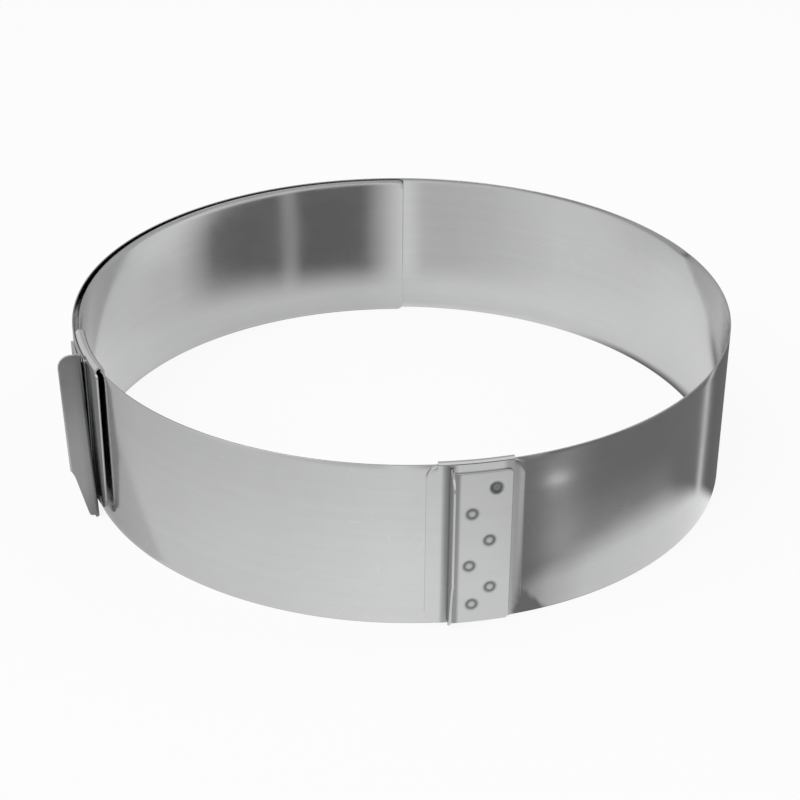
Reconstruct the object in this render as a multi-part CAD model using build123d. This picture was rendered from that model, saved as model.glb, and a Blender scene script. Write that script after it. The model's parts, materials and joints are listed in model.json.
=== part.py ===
"""Adjustable cake ring of sheet steel.

One long springy strip is coiled on itself, a little more than one turn, and
stands on its edge. Two finger grips with folded fins face each other across
the gap between them. The front grip is fixed. The other one is welded to the
outer end of the strip, and its guide plate hooks over the inner turn, which
slides through it when the ring is made wider or narrower.

Lengths are millimetres and angles are degrees, seen from above. Zero points
right, ninety points away from the reader, and 270 is the front. Angles keep
growing past 360 where the strip starts its second turn.
"""
from build123d import *
import math
import os

# The strip
band_height = 60.0
rest_radius = 118.5            # outer face of the strip at the front grip
band_thickness = 0.5
layer_pitch = 2.4              # how much further out the strip lies after one turn
inner_end_angle = 90.8
outer_end_angle = 564.7
end_corner_radius = 2.5

# The links that stand in for the flexing strip
root_link_angle = 282.0        # middle of the link that carries the front grip
root_link_span = 20.0
inner_link_count = 9
outer_link_count = 14
flex_gap = 0.05                # daylight between two links

# The plates under the grips
plate_thickness = 0.7
base_width = 32.3
base_finger_margin = 7.4       # plate left bare on the finger side of the fin
guide_width = 35.0
guide_finger_margin = 9.6
plate_corner_radius = 4.6
guide_head_radius = 1.6
foot_gap = 0.3                 # the base plate and both grips end this far above the table
guide_foot_gap = 4.6           # the guide plate is shorter
seat_gap = 0.05                # daylight between pieces that are welded flat

# The hook along the top of each plate
base_hook_margin = 3.7
guide_hook_margin = 1.8
flange_depth = 3.8
guide_inner_clearance = 0.75   # between the inner turn and the guide's flange
guide_hook_drop = 0.8          # centre of the guide's fold below the rim

# The grip with its folded fin
grip_width = 19.1              # from the fold to the far edge
grip_top_drop = 3.0
grip_corner_radius = 1.5
fin_reach = 8.6
fixed_fin_head = 59.0          # height of each fin's head, and the outer fin is a little taller
outer_fin_head = 61.0
fin_top_radius = 4.2
bend_radius = 0.8              # inside radius of the fold
taper_height = 20.0
taper_knee_height = 16.3
taper_knee_reach = 7.1
taper_toe_height = 1.3
taper_toe_reach = 3.6
taper_round = 3.0
toe_round = 1.2
outer_grip_lean = 4.4          # turn between the outer grip's foot and its head

# The spot welds, as shares of the grip plate's width from the fold and of the height
weld_outer_radius = 2.55
weld_inner_radius = 1.35
weld_depth = 0.2
weld_place_shares = (
    (0.72, 0.85),
    (0.31, 0.70),
    (0.62, 0.525),
    (0.28, 0.371),
    (0.65, 0.224),
    (0.34, 0.122),
)
plain_dent_count = 1           # welds from the top that show no raised middle

# One overrun serves all cuts, and one tolerance all searches for an edge
overrun = 5.0
edge_tolerance = 0.05

turn_degrees = 360.0
mid_radius = rest_radius - band_thickness / 2


def polar(radius, angle, centre=(0.0, 0.0)):
    """Point at a radius and an angle round a centre in the plane of the table."""
    return Vector(
        centre[0] + radius * math.cos(math.radians(angle)),
        centre[1] + radius * math.sin(math.radians(angle)),
        0,
    )


def arc_angle(length, radius):
    """Angle that an arc of this length takes on a circle of this radius."""
    return math.degrees(length / radius)


class Link:
    """One stretch of the strip: an arc about its own centre."""

    def __init__(self, start, end, radius, centre):
        self.start = start
        self.end = end
        self.radius = radius
        self.centre = centre

    def point(self, angle):
        """Point on the middle of the strip at this angle."""
        return polar(self.radius, angle, self.centre)


def link_radius(middle_angle):
    """Radius of the strip's middle, which grows steadily along the coil."""
    return mid_radius + layer_pitch * (middle_angle - root_link_angle) / turn_degrees


def next_centre(link, angle, radius):
    """Centre of a tangent neighbour that meets a link at this angle."""
    meet = link.point(angle)
    back = polar(radius, angle)
    return (meet.X - back.X, meet.Y - back.Y)


def make_links():
    """All links in order, from the strip's inner end to its outer end."""
    root_start = root_link_angle - root_link_span / 2
    root_end = root_link_angle + root_link_span / 2
    inner_step = (root_start - inner_end_angle) / inner_link_count
    outer_step = (outer_end_angle - root_end) / outer_link_count
    chain = [Link(root_start, root_end, mid_radius, (0.0, 0.0))]
    for _ in range(inner_link_count):
        last = chain[0]
        start = last.start - inner_step
        radius = link_radius((start + last.start) / 2)
        chain.insert(0, Link(start, last.start, radius, next_centre(last, last.start, radius)))
    for _ in range(outer_link_count):
        last = chain[-1]
        end = last.end + outer_step
        radius = link_radius((last.end + end) / 2)
        chain.append(Link(last.end, end, radius, next_centre(last, last.end, radius)))
    return chain


def raise_wall(outline, centre, bottom, top, lean):
    """Wall over a plan outline, its head turned back from its foot by the lean."""
    if lean == 0:
        return Pos(0, 0, bottom) * extrude(outline, amount=top - bottom, dir=(0, 0, 1))
    there = Pos(centre[0], centre[1], 0)
    back = Pos(-centre[0], -centre[1], 0)
    foot = Pos(0, 0, bottom) * there * Rot(0, 0, lean / 2) * back * outline
    head = Pos(0, 0, top) * there * Rot(0, 0, -lean / 2) * back * outline
    return loft([foot, head], ruled=True)


def sector(centre, inner, outer, start, end, bottom, top, lean=0):
    """Curved wall between two radii, two angles and two heights."""
    size = end - start
    edges = [
        CenterArc((centre[0], centre[1]), outer, start, size),
        Line(polar(outer, end, centre), polar(inner, end, centre)),
        CenterArc((centre[0], centre[1]), inner, start, size),
        Line(polar(inner, start, centre), polar(outer, start, centre)),
    ]
    return raise_wall(make_face(Curve() + edges), centre, bottom, top, lean)


def corner_edges(wall, centre, angle, level):
    """Short edges through the wall's thickness at one side and one height."""
    found = []
    for edge in wall.edges().filter_by(lambda each: abs(each.tangent_at(0).Z) < edge_tolerance):
        middle = edge.center()
        reach = math.hypot(middle.X - centre[0], middle.Y - centre[1])
        corner = polar(reach, angle, centre)
        beside = math.hypot(middle.X - corner.X, middle.Y - corner.Y)
        if beside < edge_tolerance and abs(middle.Z - level) < edge_tolerance:
            found.append(edge)
    return found


def round_corners(wall, centre, corners, radius):
    """Round a wall's outline at each corner, given as an angle and a height."""
    edges = []
    for angle, level in corners:
        edges += corner_edges(wall, centre, angle, level)
    return fillet(edges, radius)


def make_band_link(link, first, last):
    """Solid of one link, with the strip's rounded corners at its two ends."""
    ease = arc_angle(flex_gap / 2, link.radius)
    start = link.start if first else link.start + ease
    end = link.end if last else link.end - ease
    inner = link.radius - band_thickness / 2
    outer = link.radius + band_thickness / 2
    wall = sector(link.centre, inner, outer, start, end, 0, band_height)
    if first:
        wall = round_corners(wall, link.centre, [(start, 0), (start, band_height)], end_corner_radius)
    if last:
        wall = round_corners(wall, link.centre, [(end, 0), (end, band_height)], end_corner_radius)
    return wall


def make_hook(centre, outer_face, slot, fold_level, start, end):
    """Fold over a rim: an outer leg, a half round and an inner flange, swept round."""
    middle = outer_face - plate_thickness - slot / 2
    small = slot / 2
    large = small + plate_thickness
    foot = fold_level - flange_depth
    edges = [
        Line((middle + large, foot), (middle + large, fold_level)),
        CenterArc((middle, fold_level), large, 0, turn_degrees / 2),
        Line((middle - large, fold_level), (middle - large, foot)),
        Line((middle - large, foot), (middle - small, foot)),
        Line((middle - small, foot), (middle - small, fold_level)),
        CenterArc((middle, fold_level), small, 0, turn_degrees / 2),
        Line((middle + small, fold_level), (middle + small, foot)),
        Line((middle + small, foot), (middle + large, foot)),
    ]
    profile = Plane.XZ * make_face(Curve() + edges)
    fold = revolve(profile, axis=Axis.Z, revolution_arc=end - start)
    return Pos(centre[0], centre[1], 0) * Rot(0, 0, start) * fold


def make_plate(centre, outer_face, start, end, foot, fold_level, head_radius, slot, hook_margin):
    """Plate under a grip, with its four round corners and its hook over the rim."""
    wall = sector(centre, outer_face - plate_thickness, outer_face, start, end, foot, fold_level)
    wall = round_corners(wall, centre, [(start, foot), (end, foot)], plate_corner_radius)
    wall = round_corners(wall, centre, [(start, fold_level), (end, fold_level)], head_radius)
    inset = arc_angle(hook_margin, outer_face)
    return wall + make_hook(centre, outer_face, slot, fold_level, start + inset, end - inset)


def grip_outline(centre, inner_face, fold_angle, far_angle, side):
    """Plan of a grip: a curved plate that turns outward in a tight fold to its fin."""
    outer_face = inner_face + plate_thickness
    out = polar(1, fold_angle)
    away = polar(1, fold_angle - side * turn_degrees / 4)
    fold_centre = polar(outer_face + bend_radius, fold_angle, centre)
    slant = (away - out).normalized()
    small = bend_radius
    large = bend_radius + plate_thickness
    rise = fin_reach - plate_thickness - bend_radius
    inside = fold_centre + away * small
    outside = fold_centre + away * large
    sweep = far_angle - fold_angle
    edges = [
        CenterArc((centre[0], centre[1]), outer_face, fold_angle, sweep),
        ThreePointArc(polar(outer_face, fold_angle, centre), fold_centre + slant * small, inside),
        Line(inside, inside + out * rise),
        Line(inside + out * rise, outside + out * rise),
        Line(outside + out * rise, outside),
        ThreePointArc(outside, fold_centre + slant * large, polar(inner_face, fold_angle, centre)),
        CenterArc((centre[0], centre[1]), inner_face, fold_angle, sweep),
        Line(polar(inner_face, far_angle, centre), polar(outer_face, far_angle, centre)),
    ]
    return make_face(Curve() + edges)


def fin_cutters(centre, inner_face, fold_angle, head):
    """Tools that round the fin's head and taper its foot."""
    out = polar(1, fold_angle)
    across = Plane(origin=(centre[0], centre[1], 0), x_dir=out, z_dir=out.cross(Vector(0, 0, 1)))
    tip = inner_face + fin_reach
    shoulder = tip - fin_top_radius
    root = inner_face + plate_thickness + bend_radius
    corner = Curve() + [
        CenterArc((shoulder, head - fin_top_radius), fin_top_radius, 0, turn_degrees / 4),
        Line((shoulder, head), (shoulder, head + overrun)),
        Line((shoulder, head + overrun), (tip + overrun, head + overrun)),
        Line((tip + overrun, head + overrun), (tip + overrun, head - fin_top_radius)),
        Line((tip + overrun, head - fin_top_radius), (tip, head - fin_top_radius)),
    ]
    slope = FilletPolyline(
        (root, -overrun),
        (root, taper_toe_height),
        (inner_face + taper_toe_reach, taper_toe_height),
        (inner_face + taper_knee_reach, taper_knee_height),
        (tip, taper_height),
        (tip + overrun, taper_height),
        (tip + overrun, -overrun),
        radius=[0, toe_round, taper_round, taper_round, 0],
    )
    under = Curve() + [slope, Line((tip + overrun, -overrun), (root, -overrun))]
    width = grip_width / 2
    return [extrude(across * make_face(each), amount=width, both=True) for each in (corner, under)]


def weld_cutter(centre, face, angle, level, plain):
    """Tool that presses one weld mark into a curved face."""
    out = polar(1, angle)
    place = Plane(origin=polar(face - weld_depth, angle, centre) + Vector(0, 0, level), z_dir=out)
    mark = Circle(weld_outer_radius)
    if not plain:
        mark = mark - Circle(weld_inner_radius)
    return extrude(place * mark, amount=overrun)


def make_grip(centre, inner_face, fold_angle, far_angle, side, lean, fin_head):
    """Finger grip: a plate with six spot welds that folds outward into a fin."""
    outer_face = inner_face + plate_thickness
    half = lean / 2
    plate_head = band_height - grip_top_drop
    outline = grip_outline(centre, inner_face, fold_angle, far_angle, side)
    grip = raise_wall(outline, centre, foot_gap, fin_head, lean)
    # The plate stops lower than the fin
    over_angle = side * arc_angle(overrun, outer_face)
    relief_angles = sorted((fold_angle - half, far_angle - half + over_angle))
    relief_faces = (inner_face - overrun, outer_face + overrun)
    grip -= sector(centre, *relief_faces, *relief_angles, plate_head, fin_head + overrun)
    head_angle = far_angle + lean * (1 / 2 - (plate_head - foot_gap) / (fin_head - foot_gap))
    far_corners = [(far_angle + half, foot_gap), (head_angle, plate_head)]
    grip = round_corners(grip, centre, far_corners, grip_corner_radius)
    for cutter in fin_cutters(centre, inner_face, fold_angle, fin_head):
        grip -= cutter
    for count, (along_share, up_share) in enumerate(weld_place_shares):
        level = band_height * up_share
        angle = fold_angle + (far_angle - fold_angle) * along_share + lean * (1 / 2 - up_share)
        grip -= weld_cutter(centre, outer_face, angle, level, count < plain_dent_count)
    return grip


links = make_links()
root_index = inner_link_count
front_link = links[root_index]
end_link = links[-1]
fold_reach = bend_radius + plate_thickness   # from the fold's centre to the fin's finger face

# The base plate is centred on the front link, outside the strip, and its finger edge is the left one
base_face = front_link.radius + band_thickness / 2 + seat_gap + plate_thickness
base_start = root_link_angle - arc_angle(base_width / 2, base_face)
base_end = root_link_angle + arc_angle(base_width / 2, base_face)
base_slot = band_thickness + 2 * seat_gap
base_plate = make_plate(
    front_link.centre, base_face, base_start, base_end, foot_gap, band_height,
    plate_corner_radius, base_slot, base_hook_margin
)

# The fixed grip lies on the base plate and folds out at its left
fixed_face = base_face + seat_gap
fixed_fold = base_start + arc_angle(base_finger_margin + fold_reach, fixed_face)
fixed_far = fixed_fold + arc_angle(grip_width, fixed_face)
fixed_grip = make_grip(front_link.centre, fixed_face, fixed_fold, fixed_far, 1, 0, fixed_fin_head)

# The guide plate lies inside the strip's outer end, and its hook reaches over the inner turn
guide_face = end_link.radius - band_thickness / 2 - seat_gap
guide_end = outer_end_angle + arc_angle(guide_finger_margin + fold_reach, guide_face)
guide_start = guide_end - arc_angle(guide_width, guide_face)
guide_slot = layer_pitch + guide_inner_clearance - seat_gap - plate_thickness
guide_plate = make_plate(
    end_link.centre, guide_face, guide_start, guide_end, guide_foot_gap, band_height - guide_hook_drop,
    guide_head_radius, guide_slot, guide_hook_margin
)

# The outer grip mirrors the fixed one, on the outside of the strip's end. The
# straight lines of its leaning wall cut inside the round by the sag.
end_face = end_link.radius + band_thickness / 2
lean_sag = end_face * (1 - math.cos(math.radians(outer_grip_lean / 2)))
outer_face = end_face + seat_gap + lean_sag
outer_far = outer_end_angle - arc_angle(grip_width, outer_face)
outer_grip = make_grip(
    end_link.centre, outer_face, outer_end_angle, outer_far, -1, outer_grip_lean, outer_fin_head
)

pieces = {}
for number, link in enumerate(links):
    solid = make_band_link(link, number == 0, number == len(links) - 1)
    pieces[f"band_link_{number + 1:02d}"] = solid
pieces["base_plate"] = base_plate
pieces["fixed_grip"] = fixed_grip
pieces["guide_plate"] = guide_plate
pieces["outer_grip"] = outer_grip

# The origin is the middle of the whole ring's box, on the table
box = Compound(children=[Compound(each.wrapped) for each in pieces.values()]).bounding_box()
shift = Vector(-box.center().X, -box.center().Y, -box.min.Z)

os.makedirs("parts", exist_ok=True)
for name, solid in pieces.items():
    placed = Pos(shift.X, shift.Y, shift.Z) * solid
    placed.label = name
    export_step(placed, f"parts/{name}.step")

strip_length = sum(math.radians(each.end - each.start) * each.radius for each in links)
print("strip length", round(strip_length, 1))
print("gap between turns", round(layer_pitch - band_thickness, 2))
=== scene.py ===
"""Adjustable cake ring of sheet steel, dressed for its studio picture.

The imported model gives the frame: one springy strip that is coiled a little more
than one turn, a fixed finger grip at the front, and a second grip at the outer
end of the strip, whose guide plate hooks over the inner turn. Each sheet is
drawn again here as one smooth closed skin with softly rounded cut edges.

Lengths are metres and angles are degrees, seen from above. Zero points right,
ninety away from the camera and 270 towards it. Along the coil the angles keep
growing past 360.
"""
import json
import logging
import math
from dataclasses import dataclass, field
from enum import Enum
from typing import Callable, Sequence

import bpy
import numpy as np
from mathutils import Matrix, Vector


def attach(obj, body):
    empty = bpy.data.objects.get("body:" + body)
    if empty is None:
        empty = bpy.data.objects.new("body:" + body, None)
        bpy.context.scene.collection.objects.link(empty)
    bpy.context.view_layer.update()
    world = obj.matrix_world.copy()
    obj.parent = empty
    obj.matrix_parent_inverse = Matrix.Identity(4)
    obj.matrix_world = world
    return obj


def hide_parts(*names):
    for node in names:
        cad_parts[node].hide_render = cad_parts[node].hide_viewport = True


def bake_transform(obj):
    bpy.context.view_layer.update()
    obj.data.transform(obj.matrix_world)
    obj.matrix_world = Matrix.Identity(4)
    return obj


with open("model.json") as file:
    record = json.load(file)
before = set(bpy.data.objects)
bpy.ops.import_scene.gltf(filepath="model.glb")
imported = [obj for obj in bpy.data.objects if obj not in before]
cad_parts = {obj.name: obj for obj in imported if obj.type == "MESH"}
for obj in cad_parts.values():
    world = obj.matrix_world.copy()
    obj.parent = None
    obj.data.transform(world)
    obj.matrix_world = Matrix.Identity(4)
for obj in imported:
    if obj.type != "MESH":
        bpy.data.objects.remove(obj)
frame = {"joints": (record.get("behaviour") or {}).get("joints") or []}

Array = np.ndarray
SurfacePoint = Callable[[Array, Array, Array], Array]

log = logging.getLogger("cake_ring")
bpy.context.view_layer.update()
MM = 0.001
ARC = np.radians([22.5, 45.0, 67.5, 90.0])
END_STEPS = np.array([0.04, 0.2]) * MM
LEAST_STEP = 0.01 * MM
SHARP_ANGLE = math.radians(50)
WHITE = (1.0, 1.0, 1.0, 1.0)


class Slot(Enum):
    """Places in the record for the pieces' finishes, which nothing here reads."""

    BAND = "band"
    PLATES = "plates"
    GRIPS = "grips"


class Edge(Enum):
    """How a side of a sheet ends."""

    CUT = "a free edge with its rounded corners"
    SEAM = "a plain end that meets the next piece"


@dataclass(frozen=True)
class Run:
    """One stretch of a bent line: its length, and its turn to the left per metre."""

    length: float
    bend: float = 0.0


@dataclass(frozen=True)
class BentLine:
    """A line in a plane, made of straight stretches and arcs that flow into each other."""

    start: tuple[float, float]
    heading: float
    runs: tuple[Run, ...]

    @property
    def length(self) -> float:
        """Length of the whole line in metres."""
        return sum(run.length for run in self.runs)

    def at(self, along: Array) -> tuple[Array, Array]:
        """Points on the line and its normals.

        Within a stretch of bend k that starts at p with heading h, the point at
        distance d is p plus the integral of the heading's direction: the sine
        of h + k d less that of h, over k, and likewise the cosine. A straight
        stretch is the limit for k going to nothing. Before the start and past
        the end the line goes on as its first and last stretch do.

        Args:
            along: Distances from the start, in metres.

        Returns:
            The points and the normals to the right of the way, each with two columns.
        """
        starts = np.cumsum([0.0] + [run.length for run in self.runs])[:-1]
        bends = np.array([run.bend for run in self.runs])
        lengths = np.array([run.length for run in self.runs])
        turns = np.concatenate([[0.0], np.cumsum(bends * lengths)[:-1]])
        headings = math.radians(self.heading) + turns
        steps = self._advance(headings, bends, lengths)
        corners = np.array(self.start) + np.vstack([np.zeros(2), np.cumsum(steps, axis=0)[:-1]])
        pick = np.clip(np.searchsorted(starts, along, side="right") - 1, 0, len(self.runs) - 1)
        rest = along - starts[pick]
        points = corners[pick] + self._advance(headings[pick], bends[pick], rest)
        turned = headings[pick] + bends[pick] * rest
        return points, np.stack([np.sin(turned), -np.cos(turned)], axis=-1)

    @staticmethod
    def _advance(heading: Array, bend: Array, length: Array) -> Array:
        """Way made good over a stretch: the chord of its arc, turned to the arc's middle heading."""
        middle = heading + bend * length / 2
        chord = length * np.sinc(bend * length / 2 / np.pi)
        return np.stack([chord * np.cos(middle), chord * np.sin(middle)], axis=-1)


def polar(radius: float, angle: float, centre: tuple[float, float] = (0.0, 0.0)) -> tuple[float, float]:
    """Point at a radius and an angle round a centre."""
    turn = math.radians(angle)
    return centre[0] + radius * math.cos(turn), centre[1] + radius * math.sin(turn)


def arc_angle(length: float, radius: float) -> float:
    """Angle that an arc of this length takes on a circle of this radius."""
    return math.degrees(length / radius)


def spaced(start: float, end: float, step: float, fine: Sequence[float] = ()) -> Array:
    """Even steps from start to end, with close steps near both ends.

    Args:
        start: First value.
        end: Last value.
        step: Largest step between them.
        fine: Extra distances from each end.

    Returns:
        The sorted values.
    """
    count = max(1, math.ceil((end - start) / step))
    even = np.linspace(start, end, count + 1)
    near = np.concatenate([END_STEPS, fine])
    near = near[near < (end - start) / 2]
    values = np.concatenate([even, start + near, end - near])
    values.sort()
    keep = np.concatenate([[True], np.diff(values) > LEAST_STEP])
    keep[-1] = True
    return values[keep]


def corner_columns(radius: float, first: float = 5.0, step: float = 7.5) -> Array:
    """Distances from the side at which a quarter round of this radius gets columns."""
    return radius * (1 - np.cos(np.radians(np.arange(first, 90.0, step))))


def corner_cut(from_side: Array, radius: float) -> Array:
    """Height that a quarter round takes away: the radius less the height of the circle there."""
    reach = np.clip(radius - from_side, 0.0, radius)
    return radius - np.sqrt(np.maximum(radius**2 - reach**2, 0.0))


def bell(away: Array | float, width: float) -> Array:
    """Bell curve of a distance: 1 in the middle and 1/e at the width."""
    return np.exp(-((away / width) ** 2))


@dataclass
class Sheet:
    """A sheet of metal as a closed skin over a flat pattern of two parameters.

    The pattern's first parameter u runs along the sheet in columns and the
    second one, v, across it from low(u) to high(u). Each column is one closed
    line round the sheet's cut: up the outer face, over the rounded top edge,
    down the inner face and round the bottom edge. A place function carries u, v
    and the offset w from the sheet's middle to a point in space.
    """

    place: SurfacePoint
    thickness: float
    edge_radius: float = 0.14 * MM
    end_rim: float = 0.25
    row_step: float = 2.0 * MM
    rows: Array | None = None
    relief: Callable[[Array, Array], Array] | None = None
    stain: Callable[[Array, Array, Array], Array] | None = None
    points: list[Array] = field(default_factory=list)
    faces: list[list[int]] = field(default_factory=list)
    flat: list[Array] = field(default_factory=list)
    rims: list[Array] = field(default_factory=list)
    stains_and_shades: list[Array] = field(default_factory=list)
    count: int = 0

    def _ring(self, height: float) -> tuple[Array, Array, Array, Array]:
        """Pattern of one column: share of the height, and the moves on the rounded edges.

        Args:
            height: Height of the pattern, which sets the number of rows.

        Returns:
            Share of v, move in v, side of w and move in w, as one value per point.
        """
        if self.rows is None:
            share = np.linspace(0.0, 1.0, max(2, math.ceil(height / self.row_step)) + 1)
        else:
            share = self.rows
        one, side = np.ones(len(ARC)), np.ones(len(share))
        rise, over = np.sin(ARC), np.cos(ARC)
        part = np.concatenate([share, one, one, share[::-1], 0 * one, 0 * one])
        lift = np.concatenate([0 * side, rise, rise[::-1], 0 * side, -rise, -rise[::-1]])
        face = np.concatenate([side, one, -one, -side, -one, one])
        out = np.concatenate([side, over, -over[::-1], -side, -over, over[::-1]])
        return part, lift, face, out

    def skin(self, u: Array, low: Array, high: Array, first: Edge, last: Edge) -> None:
        """Adds one closed skin.

        Near a cut side the half thickness falls as a quarter circle does, so
        the side edge is rounded as the top and bottom edges are.

        Args:
            u: Columns along the sheet.
            low: Lowest v of each column.
            high: Highest v of each column.
            first: How the sheet ends at its first column.
            last: How it ends at its last column.
        """
        radius = self.edge_radius
        quarter = np.concatenate([[0.0], ARC[:-1]])
        inset = radius * (1 - np.cos(quarter))
        loss = radius * (1 - np.sin(quarter))
        columns, lows, highs, less = [u], [low], [high], [np.zeros(len(u))]
        if first is Edge.CUT:
            near = u > u[0] + radius * 0.99
            columns = [u[0] + inset, u[near]]
            lows = [np.interp(u[0] + inset, u, low), low[near]]
            highs = [np.interp(u[0] + inset, u, high), high[near]]
            less = [loss, np.zeros(int(near.sum()))]
        col, lo, hi, cut = (np.concatenate(each) for each in (columns, lows, highs, less))
        if last is Edge.CUT:
            near = col < u[-1] - radius * 0.99
            ends = (u[-1] - inset)[::-1]
            lo = np.concatenate([lo[near], np.interp(ends, u, low)])
            hi = np.concatenate([hi[near], np.interp(ends, u, high)])
            cut = np.concatenate([cut[near], loss[::-1]])
            col = np.concatenate([col[near], ends])
        part, lift, face, out = self._ring(float(np.max(hi - lo)))
        half = self.thickness / 2 - cut[:, None]
        round_off = np.minimum(radius, half)
        lo, hi, col = lo[:, None] + cut[:, None], hi[:, None] - cut[:, None], col[:, None]
        v = lo + round_off + (hi - lo - 2 * round_off) * part + round_off * lift
        w = face * (half - round_off) + round_off * out
        uu = np.broadcast_to(col, v.shape)
        if self.relief is not None:
            w = w + np.where((face > 0) & (lift == 0), self.relief(uu, v), 0.0)
        self.points.append(self.place(uu.ravel(), v.ravel(), w.ravel()))
        self.flat.append(np.stack([uu.ravel(), v.ravel()], axis=-1))
        rim = np.broadcast_to(np.where(lift != 0, 1.0, 0.0), v.shape)
        self.rims.append(np.maximum(rim, np.clip(cut[:, None] / radius, 0, self.end_rim)).ravel())
        side = np.broadcast_to(np.where(lift == 0, face, 0.0), v.shape)
        stain = np.zeros_like(v) if self.stain is None else self.stain(uu, v, side)
        self.stains_and_shades.append(stain.ravel())
        self._weave(*v.shape)

    def _weave(self, wide: int, tall: int) -> None:
        """Joins the columns by quads and closes both ends of the skin."""
        index = self.count + np.arange(wide * tall).reshape(wide, tall)
        here, there = index[:-1], index[1:]
        corners = here, there, np.roll(there, -1, axis=1), np.roll(here, -1, axis=1)
        self.faces += np.stack(corners, axis=-1).reshape(-1, 4).tolist()
        rows = (tall - 4 * len(ARC)) // 2
        opposite = 2 * (rows + len(ARC)) - 1
        up = np.arange(rows - 1)
        down = opposite - up
        cap = np.stack([up, up + 1, down - 1, down], axis=-1)
        head = list(range(rows - 1, rows + 2 * len(ARC) + 1))
        foot = [*range(opposite, tall), 0]
        for column, order in ((index[0], 1), (index[-1], -1)):
            self.faces += [column[each][::order].tolist() for each in cap]
            self.faces += [column[head][::order].tolist(), column[foot][::order].tolist()]
        self.count += wide * tall

    def make(self, name: str, material: bpy.types.Material) -> bpy.types.Object:
        """Makes the mesh object, with the flat pattern as its map, and its rims and its stains and painted
        shade marked.

        Args:
            name: Name of the piece.
            material: Its finish.

        Returns:
            The object, at the origin, with its faces outwards.
        """
        points = np.concatenate(self.points)
        faces = self.faces
        if enclosed_volume(points, faces) < 0:
            faces = [each[::-1] for each in faces]
        mesh = bpy.data.meshes.new(name)
        mesh.from_pydata(points.tolist(), [], faces)
        mesh.update()
        corner = np.zeros(len(mesh.loops), dtype=np.int32)
        mesh.loops.foreach_get("vertex_index", corner)
        flat = np.concatenate(self.flat)[corner]
        mesh.uv_layers.new(name="pattern").data.foreach_set("uv", flat.astype(np.float32).ravel())
        for label, values in (("rim", self.rims), ("stain", self.stains_and_shades)):
            mark = mesh.attributes.new(label, "FLOAT", "POINT")
            mark.data.foreach_set("value", np.concatenate(values).astype(np.float32))
        mesh.materials.append(material)
        mesh.shade_smooth()
        mesh.set_sharp_from_angle(angle=SHARP_ANGLE)
        piece = bpy.data.objects.new(name, mesh)
        bpy.context.scene.collection.objects.link(piece)
        return piece


def smooth_step(value: Array, low: Array | float, high: Array | float) -> Array:
    """Soft step from 0 at low to 1 at high: three times the share's square less twice its cube."""
    share = np.clip((value - low) / (high - low), 0.0, 1.0)
    return share * share * (3 - 2 * share)


def enclosed_volume(points: Array, faces: Sequence[Sequence[int]]) -> float:
    """Volume inside a skin: a sixth of the sum of the triple products of its triangles.

    Args:
        points: Corner points.
        faces: Quads, and larger faces, which add little and are left out.

    Returns:
        The volume, below zero if the faces point inwards.
    """
    quads = np.array([each for each in faces if len(each) == 4])
    a, b, c, d = (points[quads[:, k]] for k in range(4))
    first = np.einsum("ij,ij->i", a, np.cross(b, c))
    second = np.einsum("ij,ij->i", a, np.cross(c, d))
    return float((first + second).sum() / 6)


class Graph:
    """Small helper that adds and joins the nodes of one material or group."""

    def __init__(self, tree: bpy.types.NodeTree) -> None:
        """Starts on an existing node tree."""
        self.tree = tree

    def add(self, kind: str, inputs: dict | None = None, **settings: object) -> bpy.types.Node:
        """Adds a node.

        Args:
            kind: Type of the node.
            inputs: Values or sockets for its inputs, by name or number.
            settings: Properties of the node.

        Returns:
            The new node.
        """
        node = self.tree.nodes.new(kind)
        for key, value in settings.items():
            setattr(node, key, value)
        for key, value in (inputs or {}).items():
            if isinstance(value, bpy.types.NodeSocket):
                self.tree.links.new(value, node.inputs[key])
            else:
                node.inputs[key].default_value = value
        return node

    def math(self, operation: str, *values: object) -> bpy.types.NodeSocket:
        """Result of a sum or another operation on values and sockets."""
        return self.add("ShaderNodeMath", dict(enumerate(values)), operation=operation).outputs[0]

    def total(self, *values: object) -> bpy.types.NodeSocket:
        """Sum of any number of values and sockets, added from the left."""
        result = values[0]
        for value in values[1:]:
            result = self.math("ADD", result, value)
        return result

    def times(self, first: object, second: object) -> bpy.types.NodeSocket:
        """Product of two values or sockets."""
        return self.math("MULTIPLY", first, second)

    def tint(self, share: object, low: object, high: object) -> bpy.types.NodeSocket:
        """Mix of two colours by a share."""
        return self.add("ShaderNodeMix", {0: share, 6: low, 7: high}, data_type="RGBA").outputs[2]

    def noise(
        self, vector: bpy.types.NodeSocket, scale: object = 1.0, detail: float = 2.0, rough: float = 0.5,
    ) -> bpy.types.NodeSocket:
        """Cloudy noise of a vector."""
        inputs = {"Vector": vector, "Scale": scale, "Detail": detail, "Roughness": rough}
        return self.add("ShaderNodeTexNoise", inputs).outputs[0]

    def ramp(
        self, value: bpy.types.NodeSocket, low: float, high: float, to_low: float, to_high: float,
    ) -> bpy.types.NodeSocket:
        """Value carried smoothly from one span to another."""
        node = self.add(
            "ShaderNodeMapRange",
            {"Value": value, "From Min": low, "From Max": high, "To Min": to_low, "To Max": to_high},
            interpolation_type="SMOOTHSTEP",
        )
        return node.outputs["Result"]

    def stretch(
        self, vector: bpy.types.NodeSocket, scale: tuple[float, float, float], turn: float,
        shift: tuple[float, float, float],
    ) -> bpy.types.NodeSocket:
        """Vector turned about Z, scaled along each axis and then moved."""
        inputs = {"Vector": vector, "Rotation": (0.0, 0.0, turn)}
        turned = self.add("ShaderNodeMapping", inputs, vector_type="POINT")
        scaled = self.add("ShaderNodeVectorMath", {0: turned.outputs[0], 1: scale}, operation="MULTIPLY")
        return self.add("ShaderNodeVectorMath", {0: scaled.outputs[0], 1: shift}, operation="ADD").outputs[0]


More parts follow.
